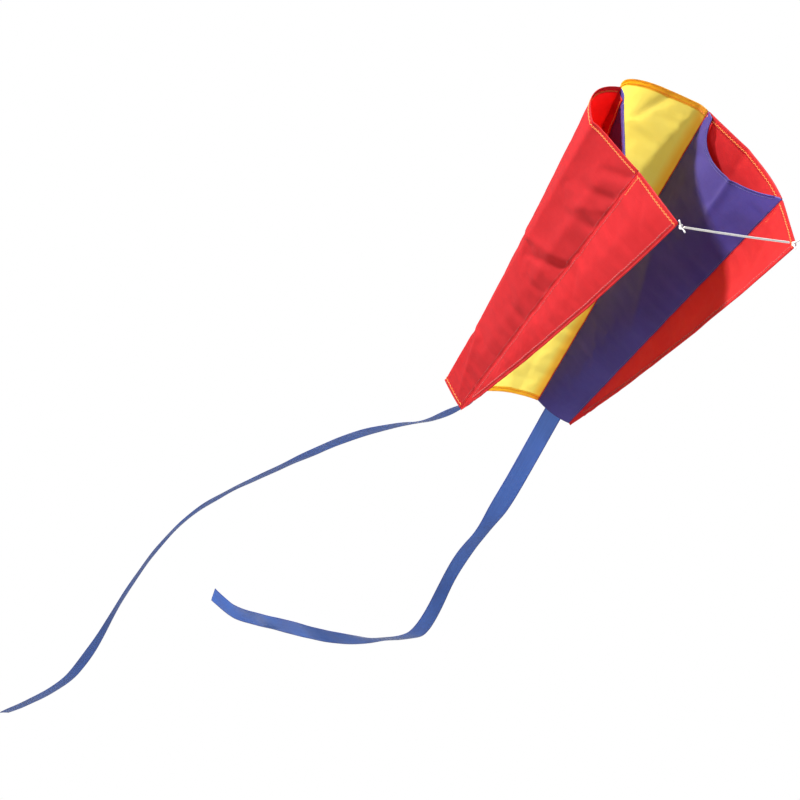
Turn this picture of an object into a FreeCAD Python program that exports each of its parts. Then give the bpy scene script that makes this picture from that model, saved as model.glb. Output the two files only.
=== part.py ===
import FreeCAD, Part
import math
import os
import Sketcher

# A small sled kite in flight: a yellow centre panel between two ram-air cells,
# with a keel under each cell, a bridle line between the keel tips and two
# ribbon tails at the rear edge. Millimetres, +X to the flyer's right when
# facing downwind, +Y downwind, +Z up, origin at the middle of the bridle line.
#
# The cloth is drawn in a kite frame of its own: x across, y along the chord
# from the front edge to the rear edge, z along the normal of the wing, with
# the middle of the front edge at zero. KITE_FRAME tips it to the flying angle.

DIMENSIONS = {
    # wing
    "chord": 480,
    "pitch_angle": 31,
    "cloth": 0.5,
    "layer_gap": 0.3,
    "seam_gap": 0.8,
    "hem_width": 8,
    "hem_inset": 4,
    "front_half_width": 58,
    "front_roll": 6,
    "front_billow": 26,
    "rear_half_width": 44.5,
    "rear_billow": 8,
    # cells
    "front_seam_half": 95,
    "front_seam_depth": 170,
    "rear_seam_half": 80,
    "rear_seam_depth": 38.5,
    "left_front_bulge": 45,
    "left_rear_bulge": 24,
    "right_front_bulge": 15,
    "right_rear_bulge": 8,
    "inner_front_bulge": 8,
    "inner_rear_bulge": 5,
    "mouth_depth": 36,
    "mouth_inset": 6,
    # keels
    "tip_half_span": 76,
    "tip_depth": 259,
    "keel_edge_bow": 8,
    # bridle
    "bridle_diameter": 2.4,
    "knot_length": 6,
    "knot_diameter": 5,
    "loose_end": 9,
    "pivot_gap": 0.4,
    "open_pivot_gap": 2.5,
    # tails
    "tail_width": 25,
    "tail_cloth": 0.5,
    "tail_root_gap": 3,
    "tail_root_inset": 20,
    "sewn_end_length": 12,
    "left_tail_drift": 17,
    "right_tail_drift": 5.5,
}

# Tail routes in their own upright planes: distance downwind, height.
LEFT_TAIL_ROUTE = [
    (0, 0), (72, -10), (125, 0), (235, 8), (400, -5), (575, -21), (680, -57),
    (785, -128), (870, -208), (960, -257), (1125, -272),
]
RIGHT_TAIL_ROUTE = [
    (0, 0), (150, -112), (245, -149), (336, -233), (393, -236), (592, -204),
    (784, -148), (950, -101), (1003, -77), (1058, -45),
]

doc = FreeCAD.newDocument("sled_kite")


def make_sheet():
    sheet = doc.addObject("Spreadsheet::Sheet", "dims")
    for row, (alias, number) in enumerate(DIMENSIONS.items(), start=1):
        sheet.set(f"A{row}", alias)
        sheet.set(f"B{row}", str(number))
        sheet.setAlias(f"B{row}", alias)
    doc.recompute()
    return sheet


sheet = make_sheet()


def dim(alias):
    return float(sheet.get(alias))


def value(expression):
    """The number that an expression in the sheet's cells works out to."""
    result = sheet.evalExpression(expression.replace("dims.", ""))
    return float(getattr(result, "Value", result))


# ---------------------------------------------------------------- placement

PITCH = math.radians(dim("pitch_angle"))
KITE_FRAME = FreeCAD.Placement(
    FreeCAD.Vector(0, dim("tip_depth") * math.sin(PITCH), dim("tip_depth") * math.cos(PITCH)),
    FreeCAD.Rotation(FreeCAD.Vector(1, 0, 0), -dim("pitch_angle")),
)


def new_body(label, placement=KITE_FRAME):
    body = doc.addObject("PartDesign::Body", label)
    body.Label = label
    body.Placement = placement
    return body


def origin_plane(body, role):
    return [item for item in body.Origin.OriginFeatures if item.Role == role][0]


def new_sketch(body, name, role, offset="0"):
    """An empty sketch on one of the body's own planes, moved along its normal."""
    sketch = body.newObject("Sketcher::SketchObject", name)
    sketch.AttachmentSupport = [(origin_plane(body, role), "")]
    sketch.MapMode = "FlatFace"
    sketch.AttachmentOffset = FreeCAD.Placement(
        FreeCAD.Vector(0, 0, value(offset)), FreeCAD.Rotation()
    )
    if offset != "0":
        sketch.setExpression("AttachmentOffset.Base.z", offset)
    return sketch


# ------------------------------------------------------------- sketch helpers


def bind(sketch, kind, geometry, expression, degrees=False):
    """Add one dimension to a sketch and tie it to the sheet."""
    number = value(expression)
    if degrees:
        number = math.radians(number)
    index = sketch.addConstraint(Sketcher.Constraint(kind, *geometry, number))
    sketch.setExpression(f"Constraints[{index}]", expression)


def arc_terms(start, end, sagitta):
    """Expressions for the arc that leaves the line start-end to its left."""
    (ax, ay), (bx, by) = start, end
    run = f"sqrt(({bx} - ({ax}))^2 + ({by} - ({ay}))^2)"
    radius = f"(({run})^2 / 4 + ({sagitta})^2) / (2 * ({sagitta}))"
    centre_x = f"({ax} + {bx}) / 2 + ({by} - ({ay})) / ({run}) * ({radius} - ({sagitta}))"
    centre_y = f"({ay} + {by}) / 2 - ({bx} - ({ax})) / ({run}) * ({radius} - ({sagitta}))"
    start_angle = f"atan2({ay} - ({centre_y}); {ax} - ({centre_x}))"
    end_angle = f"atan2({by} - ({centre_y}); {bx} - ({centre_x}))"
    return centre_x, centre_y, radius, start_angle, end_angle


def band(sketch, arc, low, high, start_trim="dims.seam_gap", end_trim="dims.seam_gap"):
    """A thin closed band along an arc, from radius + low to radius + high."""
    centre_x, centre_y, radius, start_angle, end_angle = arc_terms(*arc)
    first = f"{end_angle} + ({end_trim}) / ({radius}) * 180 / pi * 1 deg"
    last = f"{start_angle} - ({start_trim}) / ({radius}) * 180 / pi * 1 deg"
    centre = FreeCAD.Vector(value(centre_x), value(centre_y), 0)
    angles = [math.radians(value(first)), math.radians(value(last))]
    if angles[1] < angles[0]:
        angles[1] += 2 * math.pi
    radii = [value(f"{radius} + ({side})") for side in (low, high)]
    for number in radii:
        circle = Part.Circle(centre, FreeCAD.Vector(0, 0, 1), number)
        sketch.addGeometry(Part.ArcOfCircle(circle, *angles))
    for angle in angles:
        ray = FreeCAD.Vector(math.cos(angle), math.sin(angle), 0)
        sketch.addGeometry(Part.LineSegment(centre + ray * radii[0], centre + ray * radii[1]))
    sketch.addConstraint(Sketcher.Constraint("Coincident", 0, 3, 1, 3))
    for line, arc_end in ((2, 1), (3, 2)):
        sketch.addConstraint(Sketcher.Constraint("Coincident", line, 1, 0, arc_end))
        sketch.addConstraint(Sketcher.Constraint("Coincident", line, 2, 1, arc_end))
        sketch.addConstraint(Sketcher.Constraint("PointOnObject", 0, 3, line))
    bind(sketch, "DistanceX", (-1, 1, 0, 3), centre_x)
    bind(sketch, "DistanceY", (-1, 1, 0, 3), centre_y)
    bind(sketch, "Radius", (0,), f"{radius} + ({low})")
    bind(sketch, "Radius", (1,), f"{radius} + ({high})")
    bind(sketch, "Angle", (2,), first, degrees=True)
    bind(sketch, "Angle", (3,), last, degrees=True)


def outline(sketch, points, arc_side=None, sagitta="0"):
    """A closed outline of straight sides; one side may be an arc bowed to its left."""
    corners = [FreeCAD.Vector(value(x), value(y), 0) for x, y in points]
    count = len(corners)
    for side in range(count):
        start, end = corners[side], corners[(side + 1) % count]
        if side == arc_side:
            run = end - start
            left = FreeCAD.Vector(-run.y, run.x, 0).normalize()
            crown = (start + end) * 0.5 + left * value(sagitta)
            sketch.addGeometry(Part.Arc(start, crown, end))
        else:
            sketch.addGeometry(Part.LineSegment(start, end))
    for side, (x, y) in enumerate(points):
        # An arc bowed to its left is stored backwards: it starts at its far corner.
        near = 2 if side == arc_side else 1
        before = (side - 1) % count
        far = 1 if before == arc_side else 2
        sketch.addConstraint(Sketcher.Constraint("Coincident", before, far, side, near))
        bind(sketch, "DistanceX", (-1, 1, side, near), x)
        bind(sketch, "DistanceY", (-1, 1, side, near), y)
    if arc_side is not None:
        arc = (points[arc_side], points[(arc_side + 1) % count], sagitta)
        bind(sketch, "Radius", (arc_side,), arc_terms(*arc)[2])


# ---------------------------------------------------------- panel sections


def between(front, rear, station):
    """A size at a station of the chord: 0 at the front edge, 1 at the rear edge."""
    return f"(({front}) + (({rear}) - ({front})) * ({station}))"


def top_corner(side, station):
    x = between("dims.front_half_width", "dims.rear_half_width", station)
    return f"({side} * {x})", f"({-side} * dims.front_roll * (1 - {station}))"


def seam_corner(side, station):
    x = between("dims.front_seam_half", "dims.rear_seam_half", station)
    z = between("dims.front_seam_depth", "dims.rear_seam_depth", station)
    return f"({side} * {x})", f"(-1 * {z})"


def centre_arc(station):
    sagitta = between("dims.front_billow", "dims.rear_billow", station)
    return top_corner(-1, station), top_corner(1, station), sagitta


def outer_arc(side, station):
    name = "left" if side < 0 else "right"
    sagitta = between(f"dims.{name}_front_bulge", f"dims.{name}_rear_bulge", station)
    corners = (top_corner(side, station), seam_corner(side, station))
    return (*corners[::side], sagitta)


def inner_arc(side, station):
    sagitta = between("dims.inner_front_bulge", "dims.inner_rear_bulge", station)
    corners = (top_corner(side, station), seam_corner(side, station))
    return (*corners[::-side], sagitta)


PANEL_LAYER = ("-dims.cloth / 2", "dims.cloth / 2")
FOLD_LAYER = ("-dims.cloth * 1.5 - dims.layer_gap", "-dims.cloth / 2 - dims.layer_gap")


def loft_panel(label, arc_at, stations, layer=PANEL_LAYER, trims=()):
    """One layer of cloth lofted between its sections at two stations."""
    body = new_body(label)
    sections = []
    for name, station in zip(("front", "rear"), stations):
        sketch = new_sketch(body, f"{label}_{name}", "XZ_Plane", f"-dims.chord * ({station})")
        band(sketch, arc_at(station), *layer, *trims)
        sections.append(sketch)
    loft = body.newObject("PartDesign::AdditiveLoft", f"{label}_cloth")
    loft.Profile = sections[0]
    loft.Sections = [sections[1]]
    loft.Ruled = True
    body.Tip = loft
    return body


def cut_through(body, sketch):
    """Cut a side-view outline right across the body."""
    pocket = body.newObject("PartDesign::Pocket", f"{sketch.Name}_cut")
    pocket.Profile = sketch
    pocket.Type = "ThroughAll"
    pocket.Midplane = True
    body.Tip = pocket


FRONT_HEM = ("0", "dims.hem_width / dims.chord")
REAR_HEM = ("(1 - dims.hem_width / dims.chord)", "1")
HEM_TRIMS = ("dims.hem_inset", "dims.hem_inset")


def make_centre():
    loft_panel("centre_panel", centre_arc, ("0", "1"))
    loft_panel("centre_front_hem", centre_arc, FRONT_HEM, FOLD_LAYER)
    loft_panel("centre_rear_hem", centre_arc, REAR_HEM, FOLD_LAYER)


# ------------------------------------------------------------------- cells


def mouth_corners(side, width):
    """Where the scooped mouth, grown by a width, meets the front edge in side view."""
    high = f"({-side} * dims.front_roll - dims.mouth_inset + {width})"
    low = f"(dims.mouth_inset / 2 - dims.front_seam_depth - {width})"
    return high, low


def cut_mouth(body, side):
    high, low = mouth_corners(side, "0")
    sketch = new_sketch(body, f"{body.Label}_mouth", "YZ_Plane")
    ahead = "(-1 * dims.hem_width)"
    points = [("0", high), ("0", low), (ahead, low), (ahead, high)]
    outline(sketch, points, 0, "dims.mouth_depth")
    cut_through(body, sketch)


def cut_beyond_mouth(body, side):
    """Leave only a strip one hem wide round the mouth."""
    high, low = mouth_corners(side, "dims.hem_width")
    sketch = new_sketch(body, f"{body.Label}_strip", "YZ_Plane")
    below = f"({low} - dims.mouth_depth)"
    above = f"({high} + dims.mouth_depth)"
    behind = "(2 * dims.mouth_depth)"
    points = [("0", high), ("0", low), ("0", below), (behind, below), (behind, above), ("0", above)]
    outline(sketch, points, 0, "(dims.mouth_depth + dims.hem_width)")
    cut_through(body, sketch)


def make_cell(side):
    name = "left" if side < 0 else "right"

    def outer(station):
        return outer_arc(side, station)

    def inner(station):
        return inner_arc(side, station)

    loft_panel(f"{name}_outer_skin", outer, ("0", "1"))
    loft_panel(f"{name}_outer_front_hem", outer, FRONT_HEM, FOLD_LAYER, HEM_TRIMS)
    loft_panel(f"{name}_outer_rear_hem", outer, REAR_HEM, FOLD_LAYER, HEM_TRIMS)

    skin = loft_panel(f"{name}_inner_skin", inner, ("0", "1"))
    cut_mouth(skin, side)

    strip = ("0", "(dims.mouth_depth + 2 * dims.hem_width) / dims.chord")
    mouth_hem = loft_panel(f"{name}_mouth_hem", inner, strip, FOLD_LAYER, HEM_TRIMS)
    cut_mouth(mouth_hem, side)
    cut_beyond_mouth(mouth_hem, side)

    # The tail's end is sewn into the rear of the cell, against the inner skin.
    sewn = ("(1 - dims.sewn_end_length / dims.chord)", "1")
    trims = ("(dims.tail_root_inset - dims.tail_width / 2)", "(dims.tail_root_inset - dims.tail_width / 2)")
    loft_panel(f"{name}_tail_sewn_end", inner, sewn, FOLD_LAYER, trims)


# ------------------------------------------------------------------- keels

# Each keel is drawn flat: x along its seam to the rear, y from the seam to the tip.
SEAM_RUN = (
    "sqrt((dims.front_seam_half - dims.rear_seam_half)^2 + dims.chord^2"
    " + (dims.front_seam_depth - dims.rear_seam_depth)^2)"
)
TIP_ALONG = (
    "(((dims.front_seam_half - dims.tip_half_span) * (dims.front_seam_half - dims.rear_seam_half)"
    " - (dims.tip_depth - dims.front_seam_depth) * (dims.front_seam_depth - dims.rear_seam_depth))"
    f" / {SEAM_RUN})"
)
TIP_ACROSS = (
    "sqrt((dims.front_seam_half - dims.tip_half_span)^2"
    f" + (dims.tip_depth - dims.front_seam_depth)^2 - {TIP_ALONG}^2)"
)
KEEL_TIP = (TIP_ALONG, TIP_ACROSS)
KEEL_REAR = (f"({SEAM_RUN} - dims.hem_width)", "dims.seam_gap")


def seam_point(side, station):
    x, z = seam_corner(side, station)
    return FreeCAD.Vector(value(x), value(station) * dim("chord"), value(z))


def keel_frame(side):
    """The keel's own frame, with its origin at the front of the seam."""
    front, rear = seam_point(side, "0"), seam_point(side, "1")
    tip = FreeCAD.Vector(side * dim("tip_half_span"), 0, -dim("tip_depth"))
    along = (rear - front).normalize()
    normal = along.cross(tip - front).normalize()
    across = normal.cross(along)
    matrix = FreeCAD.Matrix(
        along.x, across.x, normal.x, front.x,
        along.y, across.y, normal.y, front.y,
        along.z, across.z, normal.z, front.z,
        0, 0, 0, 1,
    )
    return KITE_FRAME * FreeCAD.Placement(matrix)


def pad_cloth(body, sketch):
    pad = body.newObject("PartDesign::Pad", f"{body.Label}_cloth")
    pad.Profile = sketch
    pad.Length = dim("cloth")
    pad.setExpression("Length", "dims.cloth")
    pad.Midplane = True
    body.Tip = pad


def make_keel(side):
    name = "left" if side < 0 else "right"
    frame = keel_frame(side)
    # The hems are folded to the face that looks at the other keel.
    inner_face = f"({side} * (dims.cloth + dims.layer_gap))"

    keel = new_body(f"{name}_keel", frame)
    sketch = new_sketch(keel, f"{name}_keel_outline", "XY_Plane")
    outline(sketch, [KEEL_TIP, KEEL_REAR, ("0", "dims.seam_gap")], 0, "dims.keel_edge_bow")
    pad_cloth(keel, sketch)

    front_hem = new_body(f"{name}_keel_front_hem", frame)
    sketch = new_sketch(front_hem, f"{name}_front_fold", "XY_Plane", inner_face)
    inset = f"({TIP_ACROSS} - dims.hem_width / 4)"
    back = f"({TIP_ALONG} + dims.hem_width)"
    corners = [("0", "dims.hem_width / 4"), (TIP_ALONG, inset), (back, inset)]
    outline(sketch, corners + [("dims.hem_width", "dims.hem_width / 4")])
    pad_cloth(front_hem, sketch)

    lower_hem = new_body(f"{name}_keel_lower_hem", frame)
    sketch = new_sketch(lower_hem, f"{name}_lower_fold", "XY_Plane", inner_face)
    edge = (KEEL_TIP, KEEL_REAR, "dims.keel_edge_bow")
    band(sketch, edge, "-dims.hem_width", "-dims.cloth", "1.5 * dims.hem_width", "8 * dims.hem_width")
    pad_cloth(lower_hem, sketch)


# ------------------------------------------------------------------ bridle


def primitive(kind, label, sizes, placement):
    """A Part primitive whose sizes are tied to the sheet."""
    shape = doc.addObject(kind, label)
    for name, expression in sizes.items():
        setattr(shape, name, value(expression))
        shape.setExpression(name, expression)
    shape.Placement = placement
    return shape


def pointing(direction, base):
    """A placement that turns +Z to a direction and moves it to a base point."""
    turn = FreeCAD.Rotation(FreeCAD.Vector(0, 0, 1), FreeCAD.Vector(*direction))
    return FreeCAD.Placement(base, turn)


def knot_centre(side):
    inboard = dim("tip_half_span") - dim("knot_length") / 2 - dim("pivot_gap")
    return FreeCAD.Vector(side * inboard, 0, 0)


def make_knot(side):
    """The knot at a keel tip, with its two loose ends."""
    name = "left" if side < 0 else "right"
    centre = knot_centre(side)
    sizes = {"Radius1": "dims.knot_length / 2", "Radius2": "dims.knot_diameter / 2"}
    lump = primitive("Part::Ellipsoid", f"{name}_lump", sizes, pointing((1, 0, 0), centre))
    end_sizes = {
        "Radius": "dims.bridle_diameter / 2 * 0.8",
        "Height": "dims.loose_end",
    }
    directions = ((0.7 * side, -0.6, 0.4), (-0.2 * side, -0.5, -0.85))
    ends = [
        primitive("Part::Cylinder", f"{name}_end_{word}", end_sizes, pointing(direction, centre))
        for word, direction in zip(("upper", "lower"), directions)
    ]
    knot = doc.addObject("Part::MultiFuse", f"{name}_bridle_knot")
    knot.Label = f"{name}_bridle_knot"
    knot.Shapes = [lump, *ends]
    return knot


def make_bridle():
    """The taut line between the knots, free of the right one where the linkage opens."""
    knot_face = dim("tip_half_span") - dim("knot_length") - dim("pivot_gap")
    start = FreeCAD.Vector(dim("pivot_gap") - knot_face, 0, 0)
    run = "2 * (dims.tip_half_span - dims.knot_length - dims.pivot_gap)"
    sizes = {
        "Radius": "dims.bridle_diameter / 2",
        "Height": f"{run} - dims.pivot_gap - dims.open_pivot_gap",
    }
    line = primitive("Part::Cylinder", "bridle_line", sizes, pointing((1, 0, 0), start))
    line.Label = "bridle_line"
    return line


# ------------------------------------------------------------------- tails


def spine_geometry(route):
    """Straight runs joined by arcs that touch them both, and the ends of each piece.

    A sketch keeps every arc anticlockwise, so one that turns right ends at its vertex 1.
    """
    points = [FreeCAD.Vector(*point, 0) for point in route]
    pieces = []
    ends = []
    start = points[0]
    for before, corner, after in zip(points, points[1:], points[2:]):
        arrive, leave = (corner - before), (after - corner)
        setback = 0.45 * min(arrive.Length, leave.Length)
        arrive.normalize()
        leave.normalize()
        half_turn = arrive.getAngle(leave) / 2
        radius = setback / math.tan(half_turn)
        inward = (leave - arrive).normalize()
        centre = corner + inward * (radius / math.cos(half_turn))
        arc_start, arc_end = corner - arrive * setback, corner + leave * setback
        turns_left = arrive.cross(leave).z > 0
        pieces.append(Part.LineSegment(start, arc_start))
        pieces.append(Part.Arc(arc_start, centre - inward * radius, arc_end))
        ends += [(1, 2), (1, 2) if turns_left else (2, 1)]
        start = arc_end
    pieces.append(Part.LineSegment(start, points[-1]))
    return pieces, ends + [(1, 2)]


def make_tail(side, route, drift):
    """A flat ribbon that follows its route in an upright plane."""
    name = "left" if side < 0 else "right"
    down = dim("rear_seam_depth") / 2 + dim("cloth")
    across = (dim("rear_half_width") + dim("rear_seam_half")) / 2
    root = FreeCAD.Vector(side * across, dim("chord") + dim("tail_root_gap"), -down)
    turn = FreeCAD.Rotation(FreeCAD.Vector(0, 0, 1), 90 + dim(drift))
    body = new_body(f"{name}_tail", FreeCAD.Placement(KITE_FRAME.multVec(root), turn))

    spine = new_sketch(body, f"{name}_tail_route", "XZ_Plane")
    pieces, ends = spine_geometry(route)
    spine.addGeometry(pieces)
    for index in range(len(pieces) - 1):
        joint = (index, ends[index][1], index + 1, ends[index + 1][0])
        spine.addConstraint(Sketcher.Constraint("Coincident", *joint))

    profile = new_sketch(body, f"{name}_tail_section", "YZ_Plane")
    slope = math.degrees(math.atan2(route[1][1], route[1][0]))
    tilt = FreeCAD.Rotation(FreeCAD.Vector(1, 0, 0), -slope)
    profile.AttachmentOffset = FreeCAD.Placement(FreeCAD.Vector(), tilt)
    wide, thick = "(dims.tail_width / 2)", "(dims.tail_cloth / 2)"
    signs = ((-1, -1), (1, -1), (1, 1), (-1, 1))
    outline(profile, [(f"({a} * {wide})", f"({b} * {thick})") for a, b in signs])

    pipe = body.newObject("PartDesign::AdditivePipe", f"{name}_tail_ribbon")
    pipe.Profile = profile
    pipe.Spine = spine
    body.Tip = pipe


# -------------------------------------------------------------------- build

NODES = [
    "centre_panel", "centre_front_hem", "centre_rear_hem", "bridle_line",
]
SIDE_NODES = [
    "outer_skin", "outer_front_hem", "outer_rear_hem", "inner_skin", "mouth_hem",
    "tail_sewn_end", "keel", "keel_front_hem", "keel_lower_hem", "bridle_knot", "tail",
]


def check_document():
    for item in doc.Objects:
        bad = [word for word in ("Invalid", "Error") if word in item.State]
        assert not bad, f"{item.Name}: {bad}"


def write_node(label):
    node = doc.getObjectsByLabel(label)[0]
    assert not node.Shape.isNull() and node.Shape.isValid(), label
    node.Shape.exportStep(f"parts/{label}.step")


def main():
    make_centre()
    for side in (-1, 1):
        make_cell(side)
        make_keel(side)
        make_knot(side)
    make_bridle()
    make_tail(-1, LEFT_TAIL_ROUTE, "left_tail_drift")
    make_tail(1, RIGHT_TAIL_ROUTE, "right_tail_drift")
    doc.recompute()
    check_document()
    os.makedirs("parts", exist_ok=True)
    labels = NODES + [f"{name}_{part}" for name in ("left", "right") for part in SIDE_NODES]
    for label in labels:
        write_node(label)


main()
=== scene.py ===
import math

import bpy
import numpy as np
from mathutils import Matrix, Vector


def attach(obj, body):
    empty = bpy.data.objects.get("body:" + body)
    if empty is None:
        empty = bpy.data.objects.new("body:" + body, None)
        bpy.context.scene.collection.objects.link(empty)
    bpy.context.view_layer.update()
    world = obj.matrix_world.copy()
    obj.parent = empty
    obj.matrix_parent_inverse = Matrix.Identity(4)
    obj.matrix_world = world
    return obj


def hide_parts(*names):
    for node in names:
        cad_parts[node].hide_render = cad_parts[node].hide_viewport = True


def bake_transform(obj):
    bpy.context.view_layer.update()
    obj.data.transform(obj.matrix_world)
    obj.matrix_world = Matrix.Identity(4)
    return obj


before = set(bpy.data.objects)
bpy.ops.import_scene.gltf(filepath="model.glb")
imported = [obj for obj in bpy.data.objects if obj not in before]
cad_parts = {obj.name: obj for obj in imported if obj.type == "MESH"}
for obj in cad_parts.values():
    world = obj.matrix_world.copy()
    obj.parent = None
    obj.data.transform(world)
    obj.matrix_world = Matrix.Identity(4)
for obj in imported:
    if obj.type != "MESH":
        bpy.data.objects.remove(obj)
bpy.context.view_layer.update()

# The kite is drawn in a frame of its own: x across, y along the chord from the
# front edge to the rear edge, z along the normal of the wing, with its zero in
# the middle of the front edge. KITE tips it to the flying angle and puts the
# keel tips level with the row's origin. Metres, unless a table says millimetres.

MM = 0.001
PITCH = math.radians(31)
CHORD = 480 * MM
TIP_DEPTH = 259 * MM
TIP_HALF_SPAN = 76 * MM
HEM = 8 * MM
CLOTH = 0.3 * MM
SIDES = {"left": -1, "right": 1}

KITE = Matrix.Translation(
    (0, TIP_DEPTH * math.sin(PITCH), TIP_DEPTH * math.cos(PITCH))
) @ Matrix.Rotation(-PITCH, 4, "X")
KITE_TURN = np.array(KITE.to_3x3())
KITE_ORIGIN = np.array(KITE.translation)

# Cross-sections of the cloth at the front and rear edge, as the control points
# (x, z) of one or two Bezier curves in millimetres, from the top corner of a
# cell to its seam. The left skin has a crease where its two curves meet.
CENTRE = {
    "front": [(-58, 6), (-45, 52), (20, 32), (58, -6)],
    "rear": [(-44.5, 0), (-20, 11), (20, 11), (44.5, 0)],
}
OUTER = {
    "left": {
        "front": [
            (-58, 6), (-88, 4), (-119, -24), (-122.5, -83), (-114, -106), (-104, -147), (-95, -170),
        ],
        "rear": [
            (-44.5, 0), (-60, 16), (-78, 21), (-88.7, 14.3), (-87, -3), (-84, -21), (-80, -38.5),
        ],
    },
    "right": {
        "front": [(58, -6), (72, -45), (104, -95), (95, -170)],
        "rear": [(44.5, 0), (64, -6), (76, -18), (80, -38.5)],
    },
}
INNER = {
    "left": {
        "front": [(-58, 6), (-60, -55), (-72, -113), (-95, -170)],
        "rear": [(-44.5, 0), (-51.5, -18), (-63.4, -31), (-80, -38.5)],
    },
    "right": {
        "front": [(58, -6), (60, -60), (72, -115), (95, -170)],
        "rear": [(44.5, 0), (51.5, -18), (63.4, -31), (80, -38.5)],
    },
}
# The scooped edge of each mouth as Bezier controls: the share of the way across
# the inner skin, and how far back from the front edge in millimetres.
MOUTH = {
    "left": [(0.085, 0), (0.17, 22), (0.97, 60), (0.97, 0)],
    "right": [(0.085, 0), (0.085, 56), (0.70, 40), (0.97, 0)],
}
INNER_WIDTH = 180 * MM
KEEL_BOW = 8 * MM
KEEL_REAR_HEIGHT = 4 * MM
KEEL_BELLY = 4.5 * MM

# ------------------------------------------------------------------ stage

AZIMUTH, ELEVATION = math.radians(-24.5), math.radians(-17.7)
CAMERA_DISTANCE = 2.4
CAMERA_AIM = Vector((-0.2405, 0.361, -0.116))
CAMERA_LENS = 91.5
SUBJECT = Vector((0, 0.3, 0.05))
FLOOR_LEVEL = -2.2
FLOOR_REACH = 14


def add_object(name, data):
    obj = bpy.data.objects.new(name, data)
    bpy.context.scene.collection.objects.link(obj)
    return obj


def face_along(obj, direction, axis):
    obj.rotation_mode = "QUATERNION"
    obj.rotation_quaternion = direction.to_track_quat(axis, "Y")


def make_camera():
    level = math.cos(ELEVATION)
    back = Vector((math.sin(AZIMUTH) * level, -math.cos(AZIMUTH) * level, math.sin(ELEVATION)))
    data = bpy.data.cameras.new("camera")
    data.lens = CAMERA_LENS
    camera = add_object("camera", data)
    camera.location = CAMERA_AIM + back * CAMERA_DISTANCE
    face_along(camera, -back, "-Z")
    bpy.context.scene.camera = camera


def area_light(name, toward, distance, size, power, colour=(1, 1, 1)):
    data = bpy.data.lights.new(name, "AREA")
    data.size = size
    data.energy = power
    data.color = colour
    lamp = add_object(name, data)
    direction = Vector(toward).normalized()
    lamp.location = SUBJECT + direction * distance
    face_along(lamp, direction, "Z")


def make_world(seen, cast):
    """A white surround that lights the kite less than it shows."""
    world = bpy.data.worlds.new("studio")
    world.use_nodes = True
    tree = world.node_tree
    tree.nodes.clear()
    path = tree.nodes.new("ShaderNodeLightPath")
    mix = tree.nodes.new("ShaderNodeMixShader")
    output = tree.nodes.new("ShaderNodeOutputWorld")
    tree.links.new(path.outputs["Is Camera Ray"], mix.inputs["Fac"])
    for socket, strength in ((1, cast), (2, seen)):
        light = tree.nodes.new("ShaderNodeBackground")
        light.inputs["Color"].default_value = (1, 1, 1, 1)
        light.inputs["Strength"].default_value = strength
        tree.links.new(light.outputs[0], mix.inputs[socket])
    tree.links.new(mix.outputs[0], output.inputs["Surface"])
    bpy.context.scene.world = world


# --------------------------------------------------------------- materials


class Shader:
    """A short way to write a material's nodes."""

    def __init__(self, name):
        self.material = bpy.data.materials.new(name)
        self.material.use_nodes = True
        self.tree = self.material.node_tree
        self.tree.nodes.clear()

    def plug(self, socket, value):
        if isinstance(value, bpy.types.NodeSocket):
            self.tree.links.new(value, socket)
        elif value is not None:
            socket.default_value = value

    def add(self, kind, **inputs):
        node = self.tree.nodes.new(kind)
        for name, value in inputs.items():
            self.plug(node.inputs[name.replace("_", " ")], value)
        return node

    def math(self, operation, first, second=None):
        node = self.tree.nodes.new("ShaderNodeMath")
        node.operation = operation
        self.plug(node.inputs[0], first)
        self.plug(node.inputs[1], second)
        return node.outputs[0]

    def mix(self, factor, first, second):
        node = self.tree.nodes.new("ShaderNodeMix")
        node.data_type = "RGBA"
        for index, value in ((0, factor), (6, first), (7, second)):
            self.plug(node.inputs[index], value)
        return node.outputs[2]

    def finish(self, surface):
        output = self.tree.nodes.new("ShaderNodeOutputMaterial")
        self.tree.links.new(surface, output.inputs["Surface"])
        return self.material


def rgb(*values):
    """A linear colour from sRGB values between 0 and 1."""
    linear = [v / 12.92 if v <= 0.04045 else ((v + 0.055) / 1.055) ** 2.4 for v in values]
    return (*linear, 1.0)


WEAVE_PITCH = 0.45 * MM
CLOTH_ROUGHNESS = 0.5
RIB_PITCH = 0.6 * MM


def weave(shader, uv, pitch):
    """Threads that pass over and under each other, a pitch apart in metres."""
    bands = []
    for direction in ("X", "Y"):
        scale = math.pi / (20 * pitch)
        wave = shader.add("ShaderNodeTexWave", Vector=uv, Scale=scale, Distortion=0.3)
        wave.bands_direction = direction
        bands.append(wave.outputs["Fac"])
    return shader.math("MAXIMUM", *bands)


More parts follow.
